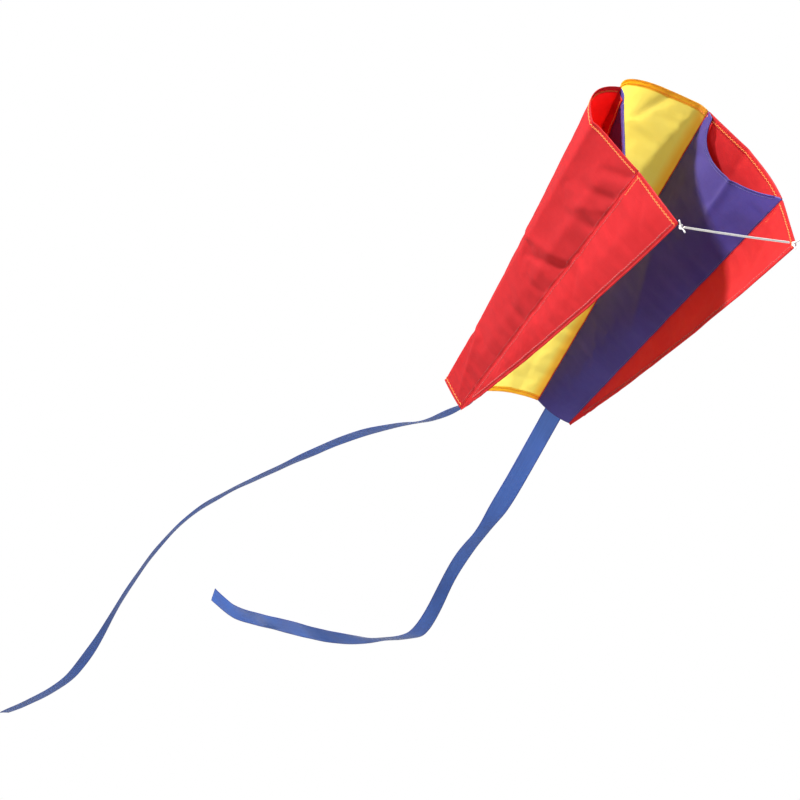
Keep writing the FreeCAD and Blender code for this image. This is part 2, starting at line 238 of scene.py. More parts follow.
def cloth_material(name, colour, deep, glow, through, sheen=0.04, edge=None):
    """Thin coated nylon: a fine weave, some thicker threads, a soft gloss, light through it."""
    shader = Shader(name)
    uv = shader.add("ShaderNodeUVMap").outputs["UV"]
    place = shader.add("ShaderNodeTexCoord").outputs["Object"]
    patches = shader.add("ShaderNodeTexNoise", Vector=place, Scale=11.0, Detail=5.0, Roughness=0.6)
    grain = shader.add("ShaderNodeTexNoise", Vector=uv, Scale=420.0, Detail=3.0)
    slubs = shader.add("ShaderNodeMapping", Vector=uv, Scale=(30.0, 900.0, 1.0))
    slub = shader.add("ShaderNodeTexNoise", Vector=slubs.outputs[0], Scale=1.0, Detail=2.0)
    slub = slub.outputs["Fac"]
    shade = shader.math("MULTIPLY", patches.outputs["Fac"], 0.62)
    shade = shader.math("ADD", shade, shader.math("MULTIPLY", slub, 0.16))
    shade = shader.math("ADD", shade, shader.math("MULTIPLY", grain.outputs["Fac"], 0.10))
    base = shader.mix(shade, colour, deep)
    lit = shader.mix(shade, glow, deep)
    if edge is not None:
        # Painted shade beside the seams: a darker band stands in for the folded seam margin dimming the
        # light that comes through the cloth.
        distance = shader.add("ShaderNodeAttribute")
        distance.attribute_name = "seam_distance"
        spread = shader.add("ShaderNodeSeparateXYZ", Vector=distance.outputs["Vector"])
        near = shader.add("ShaderNodeMapRange", Value=spread.outputs["X"])
        limits = (("From Min", 5 * MM), ("From Max", 14 * MM), ("To Min", 1.0), ("To Max", 0.0))
        for socket, value in limits:
            near.inputs[socket].default_value = value
        base = shader.mix(near.outputs["Result"], base, edge)
        lit = shader.mix(near.outputs["Result"], lit, edge)
    height = shader.math("MULTIPLY", weave(shader, uv, WEAVE_PITCH), 0.5)
    height = shader.math("ADD", height, shader.math("MULTIPLY", slub, 0.8))
    fine = shader.add("ShaderNodeBump", Height=height, Strength=0.2, Distance=0.08 * MM)
    crush = shader.add("ShaderNodeTexNoise", Vector=place, Scale=46.0, Detail=3.0, Roughness=0.5)
    bump = shader.add(
        "ShaderNodeBump", Height=crush.outputs["Fac"], Strength=0.35, Distance=1.1 * MM,
        Normal=fine.outputs[0],
    )
    gloss = shader.math("MULTIPLY_ADD", patches.outputs["Fac"], 0.22)
    gloss.node.inputs[2].default_value = CLOTH_ROUGHNESS - 0.11
    skin = shader.add(
        "ShaderNodeBsdfPrincipled",
        Base_Color=base,
        Roughness=gloss,
        Normal=bump.outputs[0],
        Sheen_Weight=sheen,
        Sheen_Roughness=0.45,
        Specular_IOR_Level=0.25,
    )
    back = shader.add("ShaderNodeBsdfTranslucent", Color=lit, Normal=bump.outputs[0])
    both = shader.add("ShaderNodeMixShader", Fac=through)
    shader.plug(both.inputs[1], skin.outputs[0])
    shader.plug(both.inputs[2], back.outputs[0])
    return shader.finish(both.outputs[0])


def ribbon_material(name, colour, deep):
    """Acetate ribbon: fine ribs across, selvedge lines along both edges, a satin gloss."""
    shader = Shader(name)
    uv = shader.add("ShaderNodeUVMap").outputs["UV"]
    part = shader.add("ShaderNodeSeparateXYZ", Vector=uv)
    rib = shader.add("ShaderNodeTexWave", Vector=uv, Scale=math.pi / (20 * RIB_PITCH), Distortion=0.5)
    rib.bands_direction = "Y"
    off_centre = shader.math("ABSOLUTE", part.outputs["X"])
    selvedge = shader.add("ShaderNodeMapRange", Value=off_centre)
    for socket, value in (("From Min", 10.8 * MM), ("From Max", 11.4 * MM)):
        selvedge.inputs[socket].default_value = value
    streak_space = shader.add("ShaderNodeMapping", Vector=uv, Scale=(700.0, 14.0, 1.0))
    streak = shader.add("ShaderNodeTexNoise", Vector=streak_space.outputs[0], Scale=1.0, Detail=3.0)
    patches = shader.add("ShaderNodeTexNoise", Vector=uv, Scale=18.0, Detail=4.0)
    shade = shader.math("MULTIPLY", streak.outputs["Fac"], 0.45)
    shade = shader.math("ADD", shade, shader.math("MULTIPLY", patches.outputs["Fac"], 0.45))
    shade = shader.math("ADD", shade, shader.math("MULTIPLY", selvedge.outputs["Result"], 0.35))
    base = shader.mix(shade, colour, deep)
    height = shader.math("ADD", rib.outputs["Fac"], selvedge.outputs["Result"])
    bump = shader.add("ShaderNodeBump", Height=height, Strength=0.3, Distance=0.12 * MM)
    gloss = shader.math("MULTIPLY_ADD", streak.outputs["Fac"], 0.2)
    gloss.node.inputs[2].default_value = 0.22
    skin = shader.add(
        "ShaderNodeBsdfPrincipled",
        Base_Color=base,
        Roughness=gloss,
        Normal=bump.outputs[0],
        Anisotropic=0.5,
        Sheen_Weight=0.35,
        Sheen_Roughness=0.3,
        Specular_IOR_Level=0.6,
    )
    back = shader.add("ShaderNodeBsdfTranslucent", Color=base, Normal=bump.outputs[0])
    both = shader.add("ShaderNodeMixShader", Fac=0.15)
    shader.plug(both.inputs[1], skin.outputs[0])
    shader.plug(both.inputs[2], back.outputs[0])
    return shader.finish(both.outputs[0])


def thread_material(name, colour, deep, scale):
    """Twisted yarn: slanted bands a little darker and lower than the yarn between them."""
    shader = Shader(name)
    place = shader.add("ShaderNodeTexCoord").outputs["Object"]
    twist = shader.add("ShaderNodeTexWave", Vector=place, Scale=scale, Distortion=1.2, Detail=1.0)
    twist.bands_direction = "DIAGONAL"
    fuzz = shader.add("ShaderNodeTexNoise", Vector=place, Scale=scale * 4, Detail=2.0)
    shade = shader.math("MULTIPLY", twist.outputs["Fac"], 0.5)
    shade = shader.math("ADD", shade, shader.math("MULTIPLY", fuzz.outputs["Fac"], 0.3))
    base = shader.mix(shade, colour, deep)
    rough = shader.math("MULTIPLY_ADD", fuzz.outputs["Fac"], 0.25)
    rough.node.inputs[2].default_value = 0.5
    bump = shader.add("ShaderNodeBump", Height=twist.outputs["Fac"], Strength=0.5, Distance=0.15 * MM)
    skin = shader.add(
        "ShaderNodeBsdfPrincipled", Base_Color=base, Roughness=rough, Normal=bump.outputs[0],
        Sheen_Weight=0.4,
    )
    return shader.finish(skin.outputs[0])


def floor_material():
    """A pale floor that glows for the camera only, so it stays bright far from the lights."""
    shader = Shader("pale_floor")
    place = shader.add("ShaderNodeTexCoord").outputs["Object"]
    cloud = shader.add("ShaderNodeTexNoise", Vector=place, Scale=0.8, Detail=3.0)
    base = shader.mix(cloud.outputs["Fac"], rgb(0.95, 0.95, 0.94), rgb(0.91, 0.91, 0.90))
    seen = shader.add("ShaderNodeLightPath").outputs["Is Camera Ray"]
    glow = shader.math("MULTIPLY", seen, 0.5)
    skin = shader.add(
        "ShaderNodeBsdfPrincipled", Base_Color=base, Roughness=0.9, Emission_Color=base,
        Emission_Strength=glow,
    )
    return shader.finish(skin.outputs[0])


RED = cloth_material(
    "red_nylon", rgb(0.95, 0.31, 0.34), rgb(0.86, 0.16, 0.17), rgb(1.0, 0.36, 0.32), 0.62
)
# The yellow cloth gets a painted shade band beside its seams, where the seam margin would dim the light
# through it.
YELLOW = cloth_material(
    "yellow_nylon", rgb(1.0, 0.96, 0.58), rgb(1.0, 0.92, 0.50), rgb(1.0, 0.975, 0.73), 0.85,
    edge=rgb(1.0, 0.86, 0.46),
)
BLUE = cloth_material(
    "blue_nylon", rgb(0.34, 0.30, 0.64), rgb(0.14, 0.07, 0.30), rgb(0.20, 0.16, 0.55), 0.04,
    sheen=0.06,
)
ORANGE = cloth_material(
    "orange_nylon", rgb(1.0, 0.89, 0.50), rgb(1.0, 0.83, 0.38), rgb(1.0, 0.95, 0.68), 0.88
)
RIBBON = ribbon_material("blue_ribbon", rgb(0.30, 0.52, 0.88), rgb(0.12, 0.20, 0.58))
THREAD = thread_material("orange_thread", rgb(1.0, 0.62, 0.24), rgb(0.94, 0.42, 0.14), 900.0)
RED_THREAD = thread_material("red_thread", rgb(0.84, 0.18, 0.16), rgb(0.60, 0.07, 0.07), 900.0)
BLUE_THREAD = thread_material("blue_thread", rgb(0.30, 0.30, 0.60), rgb(0.14, 0.12, 0.36), 900.0)
CORD = thread_material("white_cord", rgb(1.0, 0.99, 0.98), rgb(0.90, 0.89, 0.90), 260.0)

# --------------------------------------------------------- curved surfaces


def to_row(points):
    """Kite frame to row frame, for an array of points."""
    return np.asarray(points) @ KITE_TURN.T + KITE_ORIGIN


def bezier(controls, t):
    """Points (x, z) in metres on one cubic Bezier curve, or on several end to end."""
    p = np.asarray(controls, float) * MM
    count = (len(p) - 1) // 3
    t = np.asarray(t, float) * count
    piece = np.clip(np.floor(t), 0, count - 1).astype(int)
    t = (t - piece)[..., None]
    s = 1 - t
    a, b, c, d = (p[3 * piece + k] for k in range(4))
    return s**3 * a + 3 * s * s * t * b + 3 * s * t * t * c + t**3 * d


def curve_length(controls):
    points = bezier(controls, np.linspace(0, 1, 80))
    return float(np.linalg.norm(np.diff(points, axis=0), axis=1).sum())


def ripple(run, seed, lengths=(61, 37, 23)):
    """A soft irregular wave of about unit height along a run in metres."""
    total = 0
    for index, length in enumerate(lengths):
        phase = 2.4 * seed + 1.7 * index
        total = total + np.sin(2 * math.pi * run / (length * MM) + phase) / (1 + 0.6 * index)
    return total / 1.5


# The seeds of each cell's top and low seam, shared by every piece sewn to it.
TOP_SEED = {"left": 1, "right": 2}
LOW_SEED = {"left": 3, "right": 5}
PUCKER_HEIGHT = 0.9 * MM
PUCKER_REACH = 16 * MM
SEAM_FADE = 5 * MM


def seam_shift(seed, v):
    """How a sewn seam wanders off its straight line, none at its two ends."""
    size = (0.9 if seed in LOW_SEED.values() else 0.5) * MM
    fade = np.sqrt(np.clip(np.sin(np.pi * np.clip(v, 0, 1)), 0, 1))
    wave = ripple(v * CHORD, seed) * fade * size
    return np.stack([wave, 0 * wave, 0.7 * wave], -1)


class Panel:
    """A piece of cloth whose points are found from u, across, and v, along the chord."""

    def __init__(self, out, folds=(), seed=0):
        self.out = out
        self.folds = folds
        self.seed = seed

    def flat(self, u, v):
        """The place on the flat cloth, in metres."""
        width = self.width(v)
        return np.stack([(u - 0.5) * width, v * CHORD + 0 * u], -1)

    def relief(self, u, v):
        """The height of puckers and folds above the drawn surface."""
        width = self.width(v) + 0 * u
        near, far = u * width, (1 - u) * width
        height = 0 * u
        for distance, seed in ((near, self.seed), (far, self.seed + 4)):
            pulled = np.exp(-np.clip(distance, 0, None) / PUCKER_REACH) * self.seam_fade(distance)
            height = height + PUCKER_HEIGHT * pulled * ripple(v * CHORD, seed, (29, 19, 13))
        spot = self.flat(u, v)
        for start, end, spread, rise in self.folds:
            a, b = (self.flat(*np.array(place, float)) for place in (start, end))
            along = b - a
            t = np.clip(((spot - a) @ along) / (along @ along), 0, 1)
            gap = np.linalg.norm(spot - a - t[..., None] * along, axis=-1) / (spread * MM)
            # The crest is rounded: 0.387 is the root of 0.15.
            ridge = np.exp(-(np.sqrt(gap**2 + 0.15) - 0.387))
            faded = self.seam_fade(near) * self.seam_fade(far)
            height = height + rise * MM * ridge * (1 - 0.55 * t) * faded
        return height

    @staticmethod
    def seam_fade(distance):
        return 1 - np.exp(-np.clip(distance, 0, None) / SEAM_FADE)

    def normal(self, u, v):
        step = 0.002
        across = self.drawn(u + step, v) - self.drawn(u - step, v)
        along = self.drawn(u, v + step) - self.drawn(u, v - step)
        cross = np.cross(across, along)
        return self.out * cross / np.linalg.norm(cross, axis=-1, keepdims=True)

    def point(self, u, v, height=0.0):
        """Points in the row frame, at a height above the cloth on its outer side."""
        u, v = np.broadcast_arrays(np.asarray(u, float), np.asarray(v, float))
        lift = self.relief(u, v) + height
        return to_row(self.drawn(u, v) + self.normal(u, v) * lift[..., None])


class SkinPanel(Panel):
    """A skin ruled between its front and its rear section."""

    def __init__(self, curves, seeds, out, folds=(), seed=0):
        super().__init__(out, folds, seed)
        self.curves = curves
        self.seeds = seeds
        self.widths = {end: curve_length(curves[end]) for end in curves}

    def width(self, v):
        return self.widths["front"] * (1 - v) + self.widths["rear"] * v

    def drawn(self, u, v):
        front, rear = (bezier(self.curves[end], u) for end in ("front", "rear"))
        spread = np.asarray(v, float)[..., None]
        xz = front * (1 - spread) + rear * spread
        points = np.stack([xz[..., 0], v * CHORD + 0 * u, xz[..., 1]], -1)
        for seed, near in zip(self.seeds, (1 - u, u)):
            reach = np.clip(near, 0, 1)[..., None] ** 6
            points = points + reach * seam_shift(seed, v + 0 * u)
        return points


class KeelPanel(Panel):
    """A triangle that hangs from its seam: u from the seam to the lower edge."""

    def __init__(self, side, folds=()):
        super().__init__(SIDES[side], folds, 11 + SIDES[side])
        sign = SIDES[side]
        self.seam_seed = LOW_SEED[side]
        self.front = np.array([sign * 95, 0, -170]) * MM
        self.rear = np.array([sign * 80, 480, -38.5]) * MM
        self.tip = np.array([sign * TIP_HALF_SPAN, 0, -TIP_DEPTH])

    def relief(self, u, v):
        """The wind in the channel bellies the keel outward."""
        across, along = np.clip(u, 0, 1), np.clip(v, 0, 1)
        belly = KEEL_BELLY * np.sin(np.pi * across) * np.sin(np.pi * along**0.5)
        return super().relief(u, v) + belly

    def width(self, v):
        front = np.linalg.norm(self.tip - self.front)
        return front * (1 - v) + KEEL_REAR_HEIGHT * v + 4 * KEEL_BOW * v * (1 - v)

    def drawn(self, u, v):
        along = np.asarray(v, float)[..., None] + 0 * u[..., None]
        down = np.array([0, 0, -1.0])
        seam = self.front * (1 - along) + self.rear * along
        seam = seam + seam_shift(self.seam_seed, along[..., 0])
        lower = self.tip * (1 - along) + (self.rear + down * KEEL_REAR_HEIGHT) * along
        sag = 4 * KEEL_BOW * along * (1 - along)
        slack = 0.5 * MM * ripple(along * CHORD, self.seed, (131, 83, 47))
        slack = slack * np.sin(np.pi * np.clip(along, 0, 1))
        lower = lower + down * (sag + slack)
        return seam + (lower - seam) * u[..., None]


# Folds: where each starts and ends (u, v), its spread and its rise in millimetres.
FOLDS = {
    "centre": [
        ((0.68, 0.02), (0.50, 0.10), 5, -3.2),
        ((0.50, 0.11), (0.72, 0.13), 6, 2.4),
        ((0.92, 0.00), (0.70, 0.32), 10, 4.6),
        ((0.30, 0.10), (0.45, 0.40), 12, -1.6),
        ((0.15, 0.70), (0.02, 0.88), 5, -3.0),
        ((0.68, 0.70), (0.66, 0.97), 6, -3.4),
        ((0.30, 0.78), (0.52, 0.98), 7, 3.0),
    ],
    "left_outer": [
        ((0.50, 0.00), (0.52, 0.50), 10, 2.6),
        ((0.80, 0.12), (0.82, 0.80), 15, 5.0),
        ((1.00, 0.03), (0.78, 0.07), 5, -3.8),
        ((1.00, 0.11), (0.74, 0.15), 5, -4.0),
        ((1.00, 0.15), (0.78, 0.20), 5, 2.6),
        ((1.00, 0.22), (0.72, 0.25), 6, -3.0),
        ((1.00, 0.345), (0.45, 0.42), 5, 3.4),
        ((1.00, 0.375), (0.60, 0.45), 6, -4.4),
        ((1.00, 0.48), (0.78, 0.50), 5, -3.4),
        ((1.00, 0.60), (0.76, 0.60), 5, -3.2),
        ((0.60, 0.78), (0.85, 0.97), 6, 3.0),
    ],
    "right_outer": [((0.5, 0.0), (0.6, 0.4), 10, 2.0), ((0.0, 0.3), (0.5, 0.5), 9, 1.8)],
    "left_inner": [((0.2, 0.15), (0.8, 0.3), 9, 2.0), ((0.6, 0.5), (0.3, 0.8), 9, -2.0)],
    "right_inner": [
        ((0.585, 0.05), (0.60, 0.19), 4, 3.6),
        ((0.59, 0.17), (0.86, 0.20), 4, 2.4),
        ((0.04, 0.11), (0.26, 0.085), 7, -2.4),
        ((0.30, 0.35), (0.75, 0.60), 12, 1.8),
    ],
    "left_keel": [
        ((0.06, 0.30), (0.70, 0.42), 9, -1.8),
        ((0.30, 0.03), (0.75, 0.12), 8, -1.2),
        ((0.10, 0.60), (0.80, 0.66), 8, 1.4),
    ],
    "right_keel": [((0.1, 0.05), (0.7, 0.2), 9, 1.8), ((0.1, 0.4), (0.8, 0.5), 9, -1.6)],
}

CENTRE_PANEL = SkinPanel(CENTRE, (TOP_SEED["left"], TOP_SEED["right"]), 1, FOLDS["centre"], 21)
OUTER_PANELS = {}
INNER_PANELS = {}
KEEL_PANELS = {}
for side, sign in SIDES.items():
    seeds = (TOP_SEED[side], LOW_SEED[side])
    OUTER_PANELS[side] = SkinPanel(OUTER[side], seeds, sign, FOLDS[f"{side}_outer"], 31 + sign)
    INNER_PANELS[side] = SkinPanel(INNER[side], seeds, -sign, FOLDS[f"{side}_inner"], 41 + sign)
    KEEL_PANELS[side] = KeelPanel(side, FOLDS[f"{side}_keel"])


def mouth_line(side, t):
    """The front of an inner skin, t from its top seam to its low seam: (u, v)."""
    scoop = bezier(MOUTH[side], np.linspace(0, 1, 60)) / MM
    line = np.concatenate([[[0, 0]], scoop, [[1, 0]]]) / [1, CHORD / MM]
    run = np.cumsum(np.linalg.norm(np.diff(line * [INNER_WIDTH, CHORD], axis=0), axis=1))
    run = np.concatenate([[0], run]) / run[-1]
    return np.interp(t, run, line[:, 0]), np.interp(t, run, line[:, 1])


# ------------------------------------------------------------------ meshes


def join_rows(rows, columns, first=0, wrap=False):
    """Quads over a grid of points, which may close on itself across."""
    index = first + np.arange(rows * columns).reshape(rows, columns)
    if wrap:
        index = np.concatenate([index, index[:, :1]], axis=1)
    corners = [index[:-1, :-1], index[:-1, 1:], index[1:, 1:], index[1:, :-1]]
    return np.stack(corners, -1).reshape(-1, 4)


def mesh_object(name, points, faces, material, flat=None, body=None):
    mesh = bpy.data.meshes.new(name)
    mesh.from_pydata(np.asarray(points).reshape(-1, 3).tolist(), [], faces.tolist())
    if flat is not None:
        layer = mesh.uv_layers.new(name="flat")
        layer.data.foreach_set("uv", flat.reshape(-1, 2)[faces.ravel()].ravel())
    mesh.polygons.foreach_set("use_smooth", np.ones(len(faces), bool))
    mesh.materials.append(material)
    obj = add_object(name, mesh)
    if body:
        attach(obj, body)
    return obj


def thicken(obj, thickness, levels=1):
    if levels:
        smooth = obj.modifiers.new("smooth", "SUBSURF")
        smooth.levels = smooth.render_levels = levels
        smooth.boundary_smooth = "PRESERVE_CORNERS"
    solid = obj.modifiers.new("thickness", "SOLIDIFY")
    solid.thickness = thickness
    solid.offset = 0.0


PIN_FADE = 14 * MM


def panel_object(name, panel, start, across, along, material, body, held_edges):
    """The cloth of a panel, from its start line back to the rear edge."""
    t, s = np.meshgrid(np.linspace(0, 1, across + 1), np.linspace(0, 1, along + 1))
    front_u, front_v = start(t)
    u = t + (front_u - t) * (1 - s) ** 6
    v = front_v + (1 - front_v) * s
    points = panel.point(u, v)
    flat = panel.flat(u, v)
    obj = mesh_object(name, points, join_rows(along + 1, across + 1), material, flat, body)
    width = panel.width(v)
    side_gap = np.minimum(u, 1 - u) * width
    end_gap = np.minimum(s, 1 - s) * CHORD
    edge_gap = np.minimum(side_gap - held_edges[0], end_gap - held_edges[1])
    pins = np.clip(1 - edge_gap / PIN_FADE, 0, 1).ravel()
    group = obj.vertex_groups.new(name="sewn")
    for index, weight in enumerate(pins):
        if weight > 0:
            group.add([index], float(weight), "REPLACE")
    gaps = obj.data.attributes.new("seam_distance", "FLOAT", "POINT")
    gaps.data.foreach_set("value", side_gap.ravel().astype(np.float32))
    return obj


# -------------------------------------------------------------- simulation

SIMULATED_FRAMES = 22
FARTHEST_MOVE = 5 * MM


def add_cloth(obj, slack, pressure):
    cloth = obj.modifiers.new("cloth", "CLOTH")
    settings = cloth.settings
    settings.quality = 5
    settings.mass = 0.05
    settings.tension_stiffness = settings.compression_stiffness = 18
    settings.shear_stiffness = 6
    settings.bending_stiffness = 0.6
    settings.vertex_group_mass = "sewn"
    settings.shrink_min = -slack
    settings.effector_weights.gravity = 0
    settings.use_pressure = True
    settings.uniform_pressure_force = pressure
    cloth.collision_settings.use_collision = False
    cloth.point_cache.frame_start = 1
    cloth.point_cache.frame_end = SIMULATED_FRAMES


def coordinates(mesh):
    points = np.empty(len(mesh.vertices) * 3)
    mesh.vertices.foreach_get("co", points)
    return points.reshape(-1, 3)


def blow(pieces):
    """Let a light pressure crease the panels between their seams, and keep the shape they take."""
    for obj, slack, pressure in pieces:
        add_cloth(obj, slack, pressure)
    scene = bpy.context.scene
    for number in range(1, SIMULATED_FRAMES + 1):
        scene.frame_set(number)
    graph = bpy.context.evaluated_depsgraph_get()
    settled = [coordinates(obj.evaluated_get(graph).data) for obj, *_ in pieces]
    for (obj, *_), after in zip(pieces, settled):
        before = coordinates(obj.data)
        move = after - before
        size = np.linalg.norm(move, axis=1, keepdims=True) + 1e-12
        kept = before + move * (FARTHEST_MOVE * np.tanh(size / FARTHEST_MOVE) / size)
        obj.modifiers.clear()
        obj.data.vertices.foreach_set("co", kept.ravel())
        obj.data.update()
    scene.frame_set(1)


# ---------------------------------------------------------- hems and seams

# Section of a folded hem in millimetres: in from the edge, up from the cloth.
HEM_SECTION = [
    (8.0, -0.35), (7.8, -0.6), (6.6, -0.62), (5.4, -0.62), (3.4, -0.85), (1.2, -0.8),
    (-0.2, -0.55), (-0.55, -0.05), (-0.3, 0.35), (0.5, 0.5), (1.6, 0.3),
]
STITCH_PITCH = 2.6 * MM
HEM_ROW = 1.3 * MM
HEM_PUFF = 0.16 * MM
HEM_SWELL = 0.12 * MM


def front_edge(t, inset):
    return t, inset / CHORD + 0 * t


def rear_edge(t, inset):
    return t, 1 - inset / CHORD + 0 * t


def mouth_edge(side):
    panel = INNER_PANELS[side]

    def place(t, inset):
        step = 1e-3
        near, before, after = (panel.flat(*mouth_line(side, t + move)) for move in (0, -step, step))
        run = after - before
        inward = np.stack([-run[..., 1], run[..., 0]], -1)
        inward = inward / np.linalg.norm(inward, axis=-1, keepdims=True)
        spot = near + inward * np.asarray(inset)[..., None]
        v = spot[..., 1] / CHORD
        return spot[..., 0] / panel.width(v) + 0.5, v

    return place


def lower_edge(panel):
    def place(t, inset):
        return 1 - inset / np.maximum(panel.width(t), 1 * MM), t + 0 * inset

    return place


def long_seam(panel, end):
    def place(t, inset):
        gap = inset / panel.width(t)
        return (1 - gap if end else gap) + 0 * t, t

    return place


def run_length(panel, place, span):
    t = np.linspace(*span, 60)
    points = panel.point(*place(t, 0 * t))
    return float(np.linalg.norm(np.diff(points, axis=0), axis=1).sum())


def hem_object(name, panel, place, span, face, material, body, width=HEM):
    """A hem folded round an edge, wide on one face of the cloth, and puckered between its stitches."""
    length = run_length(panel, place, span)
    rows = max(24, int(length / HEM_ROW))
    t = np.linspace(*span, rows)[:, None]
    section = np.array(HEM_SECTION) * MM
    inset = np.where(section[:, 0] > 0, section[:, 0] * width / HEM, section[:, 0])[None, :]
    run = (t - span[0]) / (span[1] - span[0]) * length
    puff = HEM_PUFF * (0.5 - 0.5 * np.cos(2 * math.pi * run / STITCH_PITCH))
    puff = puff * (section[:, 0] > 0)[None, :]
    swell = HEM_SWELL * ripple(run, 7, (17, 11, 23))
    height = section[:, 1][None, :] + 0 * run
    height = height + np.where(height < -0.5 * MM, -puff - swell, 0)
    u, v = place(t + 0 * inset, inset + 0 * t)
    points = panel.point(u, v, face * height)
    flat = np.stack([inset + 0 * run, run + 0 * inset], -1)
    obj = mesh_object(name, points, join_rows(rows, len(section)), material, flat, body)
    thicken(obj, CLOTH, levels=0)
    return obj


def stitches_object(name, panel, place, span, insets, height, radius, body, thread=THREAD):
    """A row of stitches, each a short arched thread; two insets make a zigzag."""
    length = run_length(panel, place, span)
    count = max(4, int(length / STITCH_PITCH))
    edges = np.linspace(*span, count + 1)
    starts, ends = edges[:-1], edges[1:]
    middle = (starts + ends) / 2
    # Stitches in a straight row leave a little more room between them than a zigzag.
    reach = 0.47 if len(insets) == 1 else 0.5
    half = (ends - starts) * reach * 0.92
    starts, ends = middle - half, middle + half
    odd = np.arange(count) % 2
    first = np.where(odd, insets[-1], insets[0]) * MM
    last = np.where(odd, insets[0], insets[-1]) * MM
    a = panel.point(*place(starts, first), height)
    b = panel.point(*place(ends, last), height)
    spot = place(middle, (first + last) / 2)
    up = panel.point(*spot, height + MM) - panel.point(*spot, height)
    up = up / np.linalg.norm(up, axis=1, keepdims=True) * (1 if height >= 0 else -1)
    along = b - a
    along = along / np.linalg.norm(along, axis=1, keepdims=True)
    side = np.cross(along, up)
    side = side / np.linalg.norm(side, axis=1, keepdims=True)
    rings = []
    for fraction, lift, girth in ((0, -0.9, 0.6), (0.2, 0.2, 1), (0.8, 0.2, 1), (1, -0.9, 0.6)):
        centre = a + (b - a) * fraction + up * lift * radius
        for corner in range(6):
            angle = corner * math.pi / 3
            rings.append(centre + (side * math.cos(angle) + up * math.sin(angle)) * radius * girth)
    points = np.stack(rings, 1)
    faces = np.concatenate([join_rows(4, 6, 24 * stitch, wrap=True) for stitch in range(count)])
    return mesh_object(name, points, faces, thread, None, body)


def welt_object(name, panel, end, radius, material, body, height=0.0):
    """The rolled ridge of a sewn seam."""
    rows, corners = 240, 8
    v = np.linspace(0.004, 0.996, rows)
    u = np.full(rows, float(end))
    centre = panel.point(u, v, height)
    along = np.gradient(centre, axis=0)
    along = along / np.linalg.norm(along, axis=1, keepdims=True)
    up = panel.point(u, v, height + MM) - centre
    up = up / np.linalg.norm(up, axis=1, keepdims=True)
    side = np.cross(along, up)
    run = v * CHORD
    girth = radius * (1 + 0.12 * ripple(run, 3, (9, 6, 13)))
    rings = []
    for corner in range(corners):
        angle = corner * 2 * math.pi / corners
        rings.append(centre + (side * math.cos(angle) + up * math.sin(angle)) * girth[:, None])
    points = np.stack(rings, 1)
    turn = np.arange(corners) / corners * 2 * math.pi * radius
    flat = np.stack([turn[None, :] + 0 * run[:, None], run[:, None] + 0 * turn[None, :]], -1)
    return mesh_object(name, points, join_rows(rows, corners, wrap=True), material, flat, body)


def declare_sheet(panel):
    """Works out the flat width of a panel at its front, middle and rear; nothing is done with them."""
    widths = [float(panel.width(np.float64(v))) for v in (0, 0.5, 1)]


# ------------------------------------------------------------------ panels


def whole(t):
    return t, 0 * t


def make_centre():
    panel = CENTRE_PANEL
    obj = panel_object("centre_cloth", panel, whole, 30, 100, YELLOW, "canopy", (3 * MM, HEM))
    for name, place in (("front", front_edge), ("rear", rear_edge)):
        hem = hem_object(f"centre_{name}_fold", panel, place, (0.01, 0.99), 1, ORANGE, "canopy")
        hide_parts(f"centre_{name}_hem")
        for face, height in (("under", -0.95 * MM), ("over", 0.25 * MM)):
            stitches_object(
                f"centre_{name}_stitches_{face}", panel, place, (0.015, 0.985), (5.6,), height,
                0.35 * MM, "canopy",
            )
    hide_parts("centre_panel")
    declare_sheet(panel)
    return obj


def make_outer(side):
    panel = OUTER_PANELS[side]
    obj = panel_object(f"{side}_outer_cloth", panel, whole, 40, 100, RED, "canopy", (3 * MM, HEM))
    for name, place in (("front", front_edge), ("rear", rear_edge)):
        hem = hem_object(f"{side}_outer_{name}_fold", panel, place, (0.01, 0.99), 1, RED, "canopy")
        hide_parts(f"{side}_outer_{name}_hem")
        for face, height in (("inside", -0.95 * MM), ("outside", 0.25 * MM)):
            stitches_object(
                f"{side}_outer_{name}_stitches_{face}", panel, place, (0.015, 0.985), (4.2, 6.4),
                height, 0.55 * MM, "canopy",
            )
    for end, words in ((0, "top"), (1, "low")):
        welt_object(f"{side}_{words}_welt", panel, end, 0.8 * MM, RED, "canopy")
        stitches_object(
            f"{side}_{words}_seam_stitches", panel, long_seam(panel, end), (0.02, 0.98), (3.0,),
            0.25 * MM, 0.3 * MM, "canopy", RED_THREAD,
        )
    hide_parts(f"{side}_outer_skin")
    declare_sheet(panel)
    return obj


# Section of the seam margin in millimetres: in from the seam, up from the cloth.
MARGIN_SECTION = [
    (0.0, -0.5), (4.0, -0.9), (10.0, -1.0), (15.0, -1.0), (18.0, -1.0), (19.0, -1.1), (19.3, -0.6),
]


def margin_share(t):
    """The margin is widest a little behind the mouth and narrows to the rear."""
    return np.interp(t, [0, 0.1, 0.25, 1], [0.85, 1.3, 1.0, 0.5])


def make_margin(side):
    """The outer skin's red margin, turned down inside the cell and sewn to the inner skin in orange."""
    panel = INNER_PANELS[side]
    place = long_seam(panel, 0)
    rows = 200
    t = np.linspace(0.012, 0.985, rows)[:, None]
    section = np.array(MARGIN_SECTION) * MM
    inset = section[:, 0][None, :] * margin_share(t)
    loose = 0.15 * MM * ripple(t * CHORD, 13, (21, 12, 31)) * (inset > 2 * MM)
    height = section[:, 1][None, :] + loose
    u, v = place(t + 0 * inset, inset)
    points = panel.point(u, v, height)
    flat = np.stack([inset, t * CHORD + 0 * inset], -1)
    faces = join_rows(rows, len(section))
    strip = mesh_object(f"{side}_seam_margin", points, faces, RED, flat, "canopy")
    thicken(strip, CLOTH, levels=0)

    def inner_line(t, inset):
        return place(t, inset * margin_share(t))

    stitches = stitches_object(
        f"{side}_margin_stitches", panel, inner_line, (0.02, 0.975), (15.6, 17.8), -1.5 * MM,
        0.55 * MM, "canopy",
    )
    return [strip, stitches]


